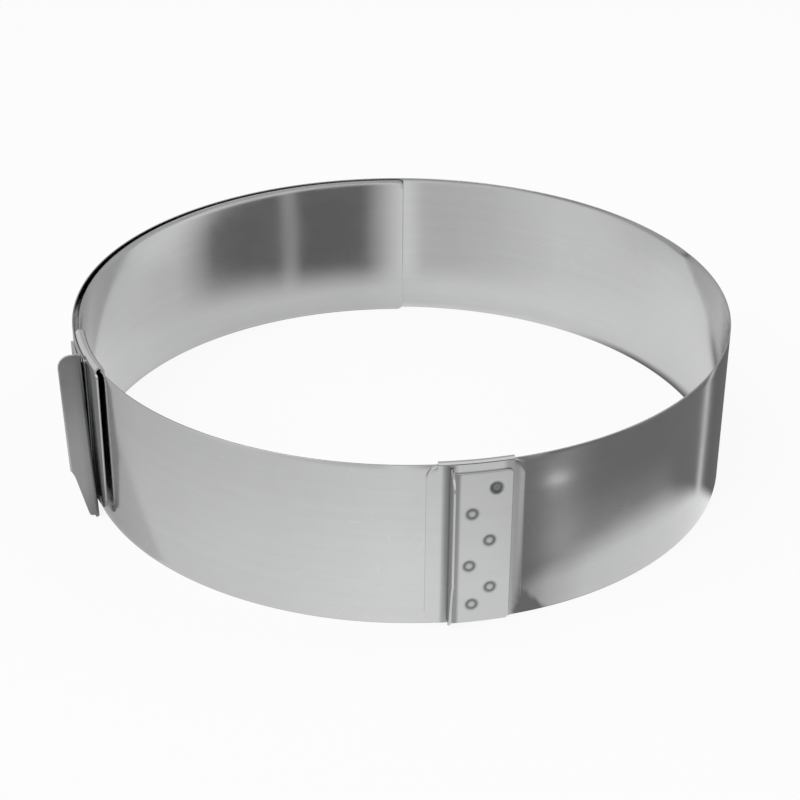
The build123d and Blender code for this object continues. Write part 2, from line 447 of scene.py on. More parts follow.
def new_group(
    name: str, inputs: dict[str, float], outputs: Sequence[str],
) -> tuple[bpy.types.NodeTree, Graph, bpy.types.Node, bpy.types.Node]:
    """Starts a shader node group, whose first input is the sheet's flat pattern.

    Args:
        name: Name of the group.
        inputs: Name and value of each further input, which are all numbers.
        outputs: Names of the outputs, which are all numbers.

    Returns:
        The tree, its graph, the node of its inputs and the node of its outputs.
    """
    tree = bpy.data.node_groups.new(name, "ShaderNodeTree")
    tree.interface.new_socket("Pattern", in_out="INPUT", socket_type="NodeSocketVector")
    for key, value in inputs.items():
        tree.interface.new_socket(key, in_out="INPUT", socket_type="NodeSocketFloat").default_value = value
    for key in outputs:
        tree.interface.new_socket(key, in_out="OUTPUT", socket_type="NodeSocketFloat")
    graph = Graph(tree)
    return tree, graph, graph.add("NodeGroupInput"), graph.add("NodeGroupOutput")


class SteelEffects:
    """Effects that all the steel finishes share, each built once as a node group."""

    def __init__(self) -> None:
        """Builds the groups."""
        self.grain = self._grain()
        self.scratches = self._scratches()
        self.haze = self._haze()

    @staticmethod
    def _grain() -> bpy.types.NodeTree:
        """Rolled grain: noise drawn out along the sheet, in a fine and a broad layer."""
        inputs = {"Streak": 60.0, "Fineness": 2500.0}
        tree, graph, start, end = new_group("Rolled grain", inputs, ["Fine", "Broad"])
        parts = graph.add("ShaderNodeSeparateXYZ", {0: start.outputs["Pattern"]})
        along = graph.times(parts.outputs[0], start.outputs["Streak"])
        across = graph.times(parts.outputs[1], start.outputs["Fineness"])
        fine = graph.add("ShaderNodeCombineXYZ", {0: along, 1: across})
        tree.links.new(graph.noise(fine.outputs[0], detail=3.0, rough=0.6), end.inputs["Fine"])
        wide_along, wide_across = graph.times(along, 0.3), graph.times(across, 0.12)
        broad = graph.add("ShaderNodeCombineXYZ", {0: wide_along, 1: wide_across, 2: 7.0})
        tree.links.new(graph.noise(broad.outputs[0]), end.inputs["Broad"])
        return tree

    @staticmethod
    def _scratches() -> bpy.types.NodeTree:
        """Fine scratches: thin level lines of drawn-out noise, in three directions, kept to patches."""
        tree, graph, start, end = new_group("Fine scratches", {"Scale": 1.0, "Width": 0.006}, ["Mask"])
        vector = graph.add("ShaderNodeVectorMath", {0: start.outputs["Pattern"]}, operation="SCALE")
        tree.links.new(start.outputs["Scale"], vector.inputs["Scale"])
        line_scale, patch_scale = (25.0, 420.0, 1.0), (38.0, 52.0, 1.0)
        masks = []
        for turn, seed in ((0.5, 3.0), (-0.9, 11.0), (1.35, 23.0)):
            drawn = graph.stretch(vector.outputs[0], line_scale, turn, (0.0, 0.0, seed))
            away = graph.math("ABSOLUTE", graph.math("SUBTRACT", graph.noise(drawn, detail=0.0), 0.5))
            line = graph.math("LESS_THAN", away, start.outputs["Width"])
            place = graph.stretch(vector.outputs[0], patch_scale, turn, (seed, 0.0, 0.0))
            patch = graph.ramp(graph.noise(place, detail=1.0), 0.56, 0.66, 0.0, 1.0)
            masks.append(graph.times(line, patch))
        both = graph.math("MAXIMUM", graph.math("MAXIMUM", masks[0], masks[1]), masks[2])
        tree.links.new(both, end.inputs["Mask"])
        return tree

    @staticmethod
    def _haze() -> bpy.types.NodeTree:
        """Handling haze: soft clouds of two sizes, from cloth and fingers."""
        tree, graph, start, end = new_group("Handling haze", {"Scale": 40.0}, ["Haze"])
        pattern, scale = start.outputs["Pattern"], start.outputs["Scale"]
        large = graph.noise(pattern, scale, detail=3.0)
        small = graph.noise(pattern, graph.times(scale, 4.5))
        mixed = graph.total(graph.times(large, 0.7), graph.times(small, 0.3))
        tree.links.new(graph.ramp(mixed, 0.35, 0.65, 0.0, 1.0), end.inputs["Haze"])
        return tree


@dataclass(frozen=True)
class SteelFinish:
    """A finish of stainless sheet, from bright rolled to satin."""

    name: str
    tint: tuple[float, float, float]
    roughness: float
    haze_depth: float
    grain_depth: float
    bump: float
    streak: float
    fineness: float
    scratch_light: float
    ripple: float
    rim_and_shade_tint: tuple[float, float, float] = (0.40, 0.402, 0.406)
    stain_and_shade_tint: tuple[float, float, float] = (0.15, 0.152, 0.155)
    scratch_glint_tint: tuple[float, float, float] = (0.9, 0.9, 0.9)
    rim_cover: float = 0.85
    cloud_share: float = 0.4
    fine_share: float = 0.6
    dull_roughness: float = 0.12
    scratch_roughness: float = 0.03
    scratch_depth: float = 0.12
    least_roughness: float = 0.03
    ripple_scale: float = 18.0
    grain_height: float = 0.00002

    def build(self, effects: SteelEffects) -> bpy.types.Material:
        """Makes the material.

        The rolled grain and the haze move the roughness and tint a little, the
        scratches catch the light as a painted glint of lighter tint, the sheared
        rims are darker both as dull cut edges and as painted shade of the gaps
        beside them, and the stain mark darkens the scorched rings round the spot
        welds and adds painted shade in corners, folds and a dent. A slow ripple
        keeps the sheet from looking perfectly flat.

        Args:
            effects: The shared node groups.

        Returns:
            The material.
        """
        material = bpy.data.materials.new(self.name)
        material.use_nodes = True
        tree = material.node_tree
        tree.nodes.clear()
        graph = Graph(tree)
        pattern = graph.add("ShaderNodeUVMap", uv_map="pattern").outputs[0]
        rim = graph.add("ShaderNodeAttribute", attribute_name="rim").outputs["Fac"]
        stain = graph.add("ShaderNodeAttribute", attribute_name="stain").outputs["Fac"]
        grain = graph.add("ShaderNodeGroup", node_tree=effects.grain)
        grain.inputs["Streak"].default_value = self.streak
        grain.inputs["Fineness"].default_value = self.fineness
        haze = graph.add("ShaderNodeGroup", node_tree=effects.haze)
        scratches = graph.add("ShaderNodeGroup", node_tree=effects.scratches)
        for node in (grain, haze, scratches):
            tree.links.new(pattern, node.inputs["Pattern"])
        scratch = scratches.outputs["Mask"]
        cloud, broad, fine = (
            graph.math("SUBTRACT", each, 0.5)
            for each in (haze.outputs["Haze"], grain.outputs["Broad"], grain.outputs["Fine"])
        )
        grained = graph.times(broad, self.grain_depth), graph.times(fine, self.grain_depth)
        shade = graph.total(*grained, graph.times(cloud, self.grain_depth * self.cloud_share), 1.0)
        plain = graph.add("ShaderNodeVectorMath", {0: self.tint}, operation="SCALE")
        tree.links.new(shade, plain.inputs["Scale"])
        caught = graph.times(scratch, self.scratch_light)
        # painted glint: scratches get a lighter tint where they catch the light
        colour = graph.tint(caught, plain.outputs[0], (*self.scratch_glint_tint, 1.0))
        # darker rims: the sheared edge's own dullness, and painted shade of the gaps between the layers
        colour = graph.tint(graph.times(rim, self.rim_cover), colour, (*self.rim_and_shade_tint, 1.0))
        # darker tint by the stain mark: the scorched weld rings, and painted shade in corners, folds and the
        # top weld's dent
        colour = graph.tint(stain, colour, (*self.stain_and_shade_tint, 1.0))
        rough = graph.total(
            graph.times(cloud, self.haze_depth), self.roughness,
            graph.times(fine, self.haze_depth * self.fine_share),
            graph.times(scratch, self.scratch_roughness),
            graph.times(graph.math("MAXIMUM", rim, stain), self.dull_roughness),
        )
        rough = graph.math("MAXIMUM", rough, self.least_roughness)
        relief = graph.total(fine, graph.times(scratch, -self.scratch_depth))
        wave = graph.noise(pattern, self.ripple_scale, detail=1.0)
        wavy = graph.add("ShaderNodeBump", {"Strength": 1.0, "Distance": self.ripple, "Height": wave})
        raised = {"Distance": self.grain_height, "Height": relief, "Normal": wavy.outputs[0]}
        bump = graph.add("ShaderNodeBump", {"Strength": self.bump, **raised})
        shader = graph.add(
            "ShaderNodeBsdfPrincipled",
            {"Base Color": colour, "Metallic": 1.0, "Roughness": rough, "Normal": bump.outputs[0]},
        )
        output = graph.add("ShaderNodeOutputMaterial")
        tree.links.new(shader.outputs[0], output.inputs[0])
        return material


# rim tint of plates and grips: the cut edge, and painted shade of the gaps beside it
CUT_AND_SHADED_EDGE = (0.52, 0.522, 0.526)
STRIP_STEEL = SteelFinish(
    "bright_rolled_strip", tint=(0.60, 0.602, 0.606), roughness=0.12, haze_depth=0.04, grain_depth=0.06,
    bump=0.12, streak=45.0, fineness=2600.0, scratch_light=0.08, ripple=0.0004,
)
PLATE_STEEL = SteelFinish(
    "bright_rolled_plate", tint=(0.59, 0.592, 0.596), roughness=0.15, haze_depth=0.05, grain_depth=0.07,
    bump=0.15, streak=60.0, fineness=2200.0, scratch_light=0.08, ripple=0.0002, rim_and_shade_tint=CUT_AND_SHADED_EDGE,
)
GRIP_STEEL = SteelFinish(
    "satin_grip_sheet", tint=(0.56, 0.562, 0.566), roughness=0.22, haze_depth=0.06, grain_depth=0.07,
    bump=0.06, streak=70.0, fineness=1900.0, scratch_light=0.02, ripple=0.0, rim_and_shade_tint=CUT_AND_SHADED_EDGE,
)


@dataclass(frozen=True)
class CoilPlan:
    """Plan of the strip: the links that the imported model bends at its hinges."""

    rest_radius: float = 118.5 * MM
    thickness: float = 0.5 * MM
    pitch: float = 2.4 * MM
    inner_end: float = 90.8
    outer_end: float = 564.7
    front_angle: float = 282.0
    front_span: float = 20.0
    inner_count: int = 9
    outer_count: int = 14

    @property
    def angles(self) -> Array:
        """Angles where the links meet, from the inner end to the outer end."""
        front = self.front_angle - self.front_span / 2
        back = self.front_angle + self.front_span / 2
        inner = np.linspace(self.inner_end, front, self.inner_count + 1)
        outer = np.linspace(back, self.outer_end, self.outer_count + 1)
        return np.concatenate([inner, outer])

    @property
    def radii(self) -> Array:
        """Radius of the strip's middle in each link, which grows by the pitch per turn."""
        middles = (self.angles[:-1] + self.angles[1:]) / 2
        radii = self.rest_radius - self.thickness / 2 + self.pitch * (middles - self.front_angle) / 360.0
        radii[self.inner_count] = self.rest_radius - self.thickness / 2
        return radii

    @property
    def count(self) -> int:
        """Number of links."""
        return self.inner_count + 1 + self.outer_count

    def centre(self, front: tuple[float, float], link: int) -> tuple[float, float]:
        """Centre of a link's arc, found link by link from the front one.

        At each joint the old and the new arc share their point and direction,
        so the centre moves along the joint's radius by the change of radius.

        Args:
            front: Centre of the front link.
            link: Number of the link, from zero at the inner end.

        Returns:
            The centre.
        """
        radii, angles = self.radii, self.angles
        here = self.inner_count
        centre = front
        while here != link:
            step = 1 if link > here else -1
            joint = angles[here + 1] if step > 0 else angles[here]
            centre = polar(radii[here] - radii[here + step], joint, centre)
            here += step
        return centre

    def line(self, front: tuple[float, float]) -> BentLine:
        """The middle of the whole strip, from its inner end to its outer end."""
        radii, angles = self.radii, self.angles
        start = polar(radii[0], self.inner_end, self.centre(front, 0))
        runs = tuple(Run(math.radians(b - a) * r, 1 / r) for a, b, r in zip(angles[:-1], angles[1:], radii))
        return BentLine(start, self.inner_end + 90.0, runs)


@dataclass
class Strip:
    """The springy strip: one closed skin per piece, from mid-link to mid-link, along one smoothly bent line.
    """

    plan: CoilPlan
    front: tuple[float, float]
    height: float = 60.0 * MM
    corner_radius: float = 2.5 * MM
    column_step: float = 1.6 * MM
    end_shade: float = 0.9

    def body(self, link: int) -> str:
        """Name of the body that carries a link."""
        if link == self.plan.inner_count:
            return "front"
        if link == self.plan.count - 1:
            return "outer_end"
        return f"band_{link + 1:02d}"

    def place(self, line: BentLine) -> SurfacePoint:
        """Carries the flat strip to its coil: the line's point plus w along its normal, at height v."""

        def carry(u: Array, v: Array, w: Array) -> Array:
            """Point for each u, v and w."""
            points, normals = line.at(u)
            return np.column_stack([points + normals * w[:, None], v])

        return carry

    def outline(self, u: Array, length: float) -> tuple[Array, Array]:
        """Lowest and highest v along the strip, with a quarter round at each end's corners."""
        cut = corner_cut(np.minimum(u, length - u), self.corner_radius)
        return cut, self.height - cut

    def build(self, material: bpy.types.Material) -> list[bpy.types.Object]:
        """Makes the pieces of the strip, and attaches the first and the last to the body of their link.

        Args:
            material: Finish of the strip.

        Returns:
            The pieces, from the inner end to the outer end.
        """
        line = self.plan.line(self.front)
        joints = np.cumsum([0.0] + [run.length for run in line.runs])
        middles = (joints[:-1] + joints[1:]) / 2
        stops = np.concatenate([[0.0], middles, [line.length]])
        corner = corner_columns(self.corner_radius)
        pieces = []

        def stain(along: Array, _level: Array, _side: Array) -> Array:
            """Painted shade on the outer end, which stands down in the corner beside the sliding fin."""
            return self.end_shade * smooth_step(along, line.length - 1.0 * MM, line.length - 0.4 * MM)

        for number, (start, end) in enumerate(zip(stops[:-1], stops[1:])):
            first = Edge.CUT if number == 0 else Edge.SEAM
            last = Edge.CUT if number == len(stops) - 2 else Edge.SEAM
            fine = corner if Edge.CUT in (first, last) else ()
            u = spaced(start, end, self.column_step, fine)
            sheet = Sheet(
                self.place(line), self.plan.thickness, edge_radius=0.12 * MM, end_rim=1.0, row_step=3.0 * MM,
                stain=stain,
            )
            sheet.skin(u, *self.outline(u, line.length), first, last)
            piece = sheet.make(f"strip_{number:02d}", material)
            if number == 0:
                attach(piece, self.body(0))
                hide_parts("band_link_01")
            elif number == self.plan.count:
                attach(piece, self.body(number - 1))
                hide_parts(f"band_link_{number:02d}")
            else:
                self._tie(piece, line, number, float(joints[number]))
                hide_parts(f"band_link_{number:02d}")
            pieces.append(piece)
        log.info("strip: %d pieces over %.0f mm", len(pieces), line.length / MM)
        return pieces

    def _tie(self, piece: bpy.types.Object, line: BentLine, number: int, joint: float) -> None:
        """Bakes a piece's place into its mesh; it is not tied to the two links that it joins.

        Args:
            piece: The piece, from the middle of one link to the middle of the next.
            line: The middle of the strip.
            number: Number of the second link, from zero.
            joint: Distance of the hinge between them along the strip.
        """
        reach = (line.runs[number].length + line.runs[number - 1].length) / 4
        points, _ = line.at(np.array([joint - reach, joint + reach]))
        self.body(number - 1)
        self.body(number)
        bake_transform(piece)


@dataclass(frozen=True)
class CornerShade:
    """Painted shade in a corner beside a grip: its place, the shade's reach and its depth."""

    place: float
    width: float
    depth: float
    full_share: float = 0.45

    def stain(self, u: Array) -> Array:
        """Painted shade at each distance along the plate, which falls from its full share of the width on.
        """
        away = np.abs(u - self.place)
        return self.depth * (1 - smooth_step(away, self.width * self.full_share, self.width))


@dataclass
class HookedPlate:
    """Plate under a grip: it stands on its foot and folds over the rim in a hook.

    Its cut, from the foot up the wall, over the half round and down the
    flange, is swept round the strip's axis.
    """

    name: str
    node: str
    body: str
    centre: tuple[float, float]
    outer_face: float
    start: float
    end: float
    fold_level: float
    head_radius: float
    slot: float
    hook_margin: float
    thickness: float = 0.7 * MM
    foot: float = 0.3 * MM
    flat_end: float = 0.0
    corner_shades: tuple[CornerShade, ...] = ()
    corner_radius: float = 4.6 * MM
    flange_depth: float = 3.8 * MM
    edge_radius: float = 0.18 * MM
    column_step: float = 0.7 * MM
    wall_rows: int = 24
    fold_rows: int = 12
    flange_rows: int = 3

    @property
    def wall(self) -> float:
        """Height of the flat wall."""
        return self.fold_level - self.foot

    @property
    def width(self) -> float:
        """Width along the round of the outer face."""
        return math.radians(self.end - self.start) * self.outer_face

    @property
    def fold(self) -> float:
        """Length of the half round along its middle."""
        return math.pi * (self.slot / 2 + self.thickness / 2)

    def profile(self) -> BentLine:
        """The middle of the sheet's cut, in radius and height."""
        runs = (Run(self.wall), Run(self.fold, math.pi / self.fold), Run(self.flange_depth))
        return BentLine((self.outer_face - self.thickness / 2, self.foot), 90.0, runs)

    def place(self) -> SurfacePoint:
        """Sweeps the cut: u along the outer face's round gives the angle, v and w the radius and height.

        Towards its two sides the rolled sheet stays flat, so there it leaves
        the round by the square of the way over twice the radius.
        """
        profile, width = self.profile(), self.width

        def carry(u: Array, v: Array, w: Array) -> Array:
            """Point for each u, v and w."""
            points, normals = profile.at(v)
            reach, level = (points + normals * w[:, None]).T
            flat = np.maximum(self.flat_end - np.minimum(u, width - u), 0.0)
            reach = reach + flat**2 / (2 * self.outer_face)
            turn = math.radians(self.start) + u / self.outer_face
            x, y = self.centre[0] + reach * np.cos(turn), self.centre[1] + reach * np.sin(turn)
            return np.column_stack([x, y, level])

        return carry

    def painted_corner_shade(self, u: Array, v: Array, side: Array) -> Array:
        """Painted shade on the outer face in the corners beside the grip, the strongest of theirs at each
        point.

        Args:
            u: Distances along the plate.
            v: Distances up the plate's cut.
            side: 1 on the outer face, -1 on the inner one and 0 on the edges.

        Returns:
            The painted shade, from 0 to 1.
        """
        stain = np.zeros_like(u)
        for painted_corner in self.corner_shades:
            stain = np.maximum(stain, painted_corner.stain(u))
        return np.where((side > 0) & (v < self.wall), stain, 0.0)

    def build(self, material: bpy.types.Material) -> bpy.types.Object:
        """Makes the plate of three skins: the middle with its hook, and a round-cornered side each way.

        Args:
            material: Finish of the plate.

        Returns:
            The piece.
        """
        width, length, margin = self.width, self.profile().length, self.hook_margin
        wall = np.linspace(0.0, self.wall, self.wall_rows)
        fold = self.wall + np.linspace(0.0, self.fold, self.fold_rows + 1)[1:]
        flange = self.wall + self.fold + np.linspace(0.0, self.flange_depth, self.flange_rows + 1)[1:]
        rows = np.concatenate([wall, fold, flange]) / length
        sheet = Sheet(self.place(), self.thickness, self.edge_radius, rows=rows, stain=self.painted_corner_shade)
        whole = spaced(0.0, width, self.column_step, corner_columns(self.corner_radius))
        low, high = self._sides(whole, width)
        middle = (whole > margin) & (whole < width - margin)
        u = np.concatenate([[margin], whole[middle], [width - margin]])
        sheet.skin(u, np.interp(u, whole, low), np.full(len(u), length), Edge.SEAM, Edge.SEAM)
        sheet.rows = np.linspace(0.0, 1.0, self.wall_rows)
        left = np.append(whole[whole < margin], margin)
        right = np.append(width - margin, whole[whole > width - margin])
        for u, ends in ((left, (Edge.CUT, Edge.SEAM)), (right, (Edge.SEAM, Edge.CUT))):
            sheet.skin(u, np.interp(u, whole, low), np.interp(u, whole, high), *ends)
        piece = sheet.make(self.name, material)
        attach(piece, self.body)
        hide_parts(self.node)
        log.info("%s: %.1f mm wide", self.name, width / MM)
        return piece

    def _sides(self, u: Array, width: float) -> tuple[Array, Array]:
        """Lowest and highest v of the wall, with quarter rounds at its four corners."""
        near = np.minimum(u, width - u)
        return corner_cut(near, self.corner_radius), self.wall - corner_cut(near, self.head_radius)


@dataclass
class FingerGrip:
    """Finger grip: a curved plate with six spot welds that folds outward into a fin.

    Its plan is one bent line: the plate's round, a tight quarter turn, and the
    straight fin. Side is 1 where the plate lies at growing angles from its
    fold, and -1 for the mirror image.
    """

    name: str
    node: str
    body: str
    centre: tuple[float, float]
    inner_face: float
    fold_angle: float
    side: int
    lean: float = 0.0
    thickness: float = 0.7 * MM
    width: float = 19.1 * MM
    bend_radius: float = 0.8 * MM
    fin_reach: float = 8.6 * MM
    foot: float = 0.3 * MM
    head: float = 59.0 * MM
    plate_head: float = 57.0 * MM
    corner_radius: float = 1.5 * MM
    fin_top_radius: float = 4.2 * MM
    band_height: float = 60.0 * MM
    flat_end: float = 6.0 * MM
    weld_radius: float = 1.6 * MM
    weld_width: float = 0.62 * MM
    weld_depth: float = 0.12 * MM
    weld_stain: float = 0.95
    top_dent_width: float = 1.7 * MM
    top_dent_share: float = 2.0
    top_dent_shade: float = 0.9
    middle_stain: float = 0.2
    middle_width: float = 1.2 * MM
    fin_shadow: float = 0.66
    fin_shadow_reach: tuple[float, float] = (1.2 * MM, 2.4 * MM)
    # painted shade of the fold and fin: the back and the face, each in the fold and out on the fin
    back_shade: tuple[float, float] = (0.50, 0.60)
    face_shade: tuple[float, float] = (0.15, 0.65)
    fold_reach: float = 3.0 * MM
    unshaded_edge: tuple[float, float] = (0.2 * MM, 0.6 * MM)
    edge_radius: float = 0.12 * MM
    fin_edge_radius: float = 0.06 * MM
    plate_step: float = 0.36 * MM
    fin_step: float = 0.3 * MM
    fin_rows: int = 60
    fold_columns: int = 13
    weld_shares: tuple[tuple[float, float], ...] = (
        (0.72, 0.85), (0.31, 0.70), (0.62, 0.525), (0.28, 0.371), (0.65, 0.224), (0.34, 0.122),
    )
    fin_foot: tuple[tuple[float, float], ...] = (
        (-9.0, 0.3), (1.5, 0.3), (1.95, 1.3), (2.65, 1.3), (3.0, 1.35), (3.4, 1.56), (3.65, 1.83),
        (3.82, 2.23), (7.1, 16.3), (7.84, 18.13), (8.0, 18.46), (8.2, 18.77), (8.4, 19.02), (8.6, 19.22),
    )

    @property
    def middle(self) -> float:
        """Radius of the plate's middle."""
        return self.inner_face + self.thickness / 2

    @property
    def plate_length(self) -> float:
        """Length of the plate along its middle, up to the fold."""
        return self.width * self.middle / self.inner_face

    @property
    def fold_length(self) -> float:
        """Length of the quarter turn along its middle."""
        return (self.bend_radius + self.thickness / 2) * math.pi / 2

    @property
    def fin_length(self) -> float:
        """Length of the straight fin."""
        return self.fin_reach - self.thickness - self.bend_radius

    def plan(self) -> BentLine:
        """The middle of the sheet in plan, from the plate's far edge to the fin's tip."""
        far = self.fold_angle + self.side * math.degrees(self.width / self.inner_face)
        plate = Run(self.plate_length, -self.side / self.middle)
        fold = Run(self.fold_length, self.side / (self.bend_radius + self.thickness / 2))
        start = polar(self.middle, far, self.centre)
        return BentLine(start, far - self.side * 90.0, (plate, fold, Run(self.fin_length)))

    def place(self) -> SurfacePoint:
        """Carries the pattern to its place: the plan's point plus w along its normal, at height v.

        Towards its far edge the plate stays flat, so there it leaves the round
        by the square of the way over twice the radius. The lean turns each
        level about the centre, evenly with its height.
        """
        plan = self.plan()

        def carry(u: Array, v: Array, w: Array) -> Array:
            """Point for each u, v and w."""
            points, normals = plan.at(u)
            w = w + np.maximum(self.flat_end - u, 0.0) ** 2 / (2 * self.middle)
            flat = points - normals * (self.side * w)[:, None] - np.array(self.centre)
            turn = np.radians(self.lean) * (0.5 - (v - self.foot) / (self.head - self.foot))
            sine, cosine = np.sin(turn), np.cos(turn)
            x = flat[:, 0] * cosine - flat[:, 1] * sine + self.centre[0]
            y = flat[:, 0] * sine + flat[:, 1] * cosine + self.centre[1]
            return np.column_stack([x, y, v])

        return carry

    def welds(self, u: Array, v: Array) -> Array:
        """Relief of the spot welds: a pressed ring, as a bell curve, and a deep dent in the top one.

        Args:
            u: Distances along the sheet from the far edge.
            v: Heights.

        Returns:
            Offset of the outer face.
        """
        relief = np.zeros_like(u)
        for number, gap in enumerate(self.weld_gaps(u, v)):
            relief -= self.weld_depth * bell(gap - self.weld_radius, self.weld_width)
            if number == 0:
                relief -= self.top_dent_share * self.weld_depth * bell(gap, self.top_dent_width)
        return relief

    def weld_gaps(self, u: Array, v: Array) -> list[Array]:
        """Distances of the points from each weld's middle, from the top weld down."""
        length, height = self.plate_length, self.band_height
        return [np.hypot(u - length * (1 - along), v - height * up) for along, up in self.weld_shares]

    def scorch_and_shade(self, u: Array, v: Array, side: Array) -> Array:
        """Stain and painted shade of the outer face: a scorched ring and a dull middle per weld, the top
        weld's middle darker as painted shade of its dent, and painted shadow in the corner by the fin.

        Args:
            u: Distances along the sheet from the far edge.
            v: Heights.
            side: 1 on the outer face, -1 on the inner one and 0 on the edges.

        Returns:
            The stain and painted shade, from 0 to 1.
        """
        stain = np.zeros_like(u)
        for number, gap in enumerate(self.weld_gaps(u, v)):
            stain += self.weld_stain * bell(gap - self.weld_radius, self.weld_width)
            # the top weld's dark middle is painted shade of its dent
            stain += (self.top_dent_shade if number == 0 else self.middle_stain) * bell(gap, self.middle_width)
        # painted shadow on the plate in the corner beside the fin
        stain += self.fin_shadow * (1 - smooth_step(self.plate_length - u, *self.fin_shadow_reach))
        return np.where(side > 0, np.clip(stain, 0.0, 1.0), 0.0)

    def painted_fin_shade(self, u: Array, v: Array, side: Array) -> Array:
        """Painted shade on the fold and fin, the back more than the face.

        Each side goes from its second value in the fold to its first one out
        on the fin, and the fin's cut edge is left without it.

        Args:
            u: Distances along the sheet from the far edge.
            v: Heights.
            side: 1 on the outer face, -1 on the inner one and 0 on the edges.

        Returns:
            The painted shade, from 0 to 1.
        """
        from_fold = smooth_step(u, self.plate_length, self.plate_length + self.fold_length / 2)
        folded = self.plate_length + self.fold_length
        in_fold = 1 - smooth_step(u, folded, folded + self.fold_reach)
        from_edge = smooth_step(folded + self.fin_length - u, *self.unshaded_edge)
        back, face = (out + (near - out) * in_fold for out, near in (self.back_shade, self.face_shade))
        return np.where(side < 0, back, face) * from_fold * from_edge * (side != 0)

    def fin_edges(self, u: Array) -> tuple[Array, Array]:
        """Lowest and highest v of the fold and fin: a round head, and a foot that tapers in two slopes.

        Args:
            u: Distances along the sheet.

        Returns:
            The lowest and the highest v.
        """
        straight = self.plate_length + self.fold_length
        reach = self.thickness + self.bend_radius + (u - straight)
        high = self.head - corner_cut(self.fin_reach - reach, self.fin_top_radius)
        knots, levels = np.array(self.fin_foot).T * MM
        return np.interp(reach, knots, levels), high

    def build(self, material: bpy.types.Material) -> bpy.types.Object:
        """Makes the grip of two skins that meet at the start of the fold.

        Args:
            material: Finish of the grip.

        Returns:
            The piece.
        """
        tall = math.ceil((self.plate_head - self.foot) / self.plate_step)
        sheet = Sheet(
            self.place(), self.thickness, self.edge_radius, rows=np.linspace(0.0, 1.0, tall),
            relief=self.welds, stain=self.scorch_and_shade,
        )
        corner = corner_columns(self.corner_radius, first=10.0, step=10.0)
        u = spaced(0.0, self.plate_length, self.plate_step, corner)
        cut = corner_cut(u, self.corner_radius)
        sheet.skin(u, self.foot + cut, self.plate_head - cut, Edge.CUT, Edge.SEAM)
        sheet.relief, sheet.stain = None, self.painted_fin_shade
        sheet.end_rim, sheet.edge_radius = 0.0, self.fin_edge_radius
        sheet.rows = np.linspace(0.0, 1.0, self.fin_rows)
        turn = np.linspace(0.0, self.fold_length, self.fold_columns)
        fin = spaced(0.0, self.fin_length, self.fin_step)[1:] + self.fold_length
        u = self.plate_length + np.concatenate([turn, fin])
        sheet.skin(u, *self.fin_edges(u), Edge.SEAM, Edge.CUT)
        piece = sheet.make(self.name, material)
        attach(piece, self.body)
        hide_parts(self.node)
        log.info("%s: fold at %.1f degrees", self.name, self.fold_angle)
        return piece


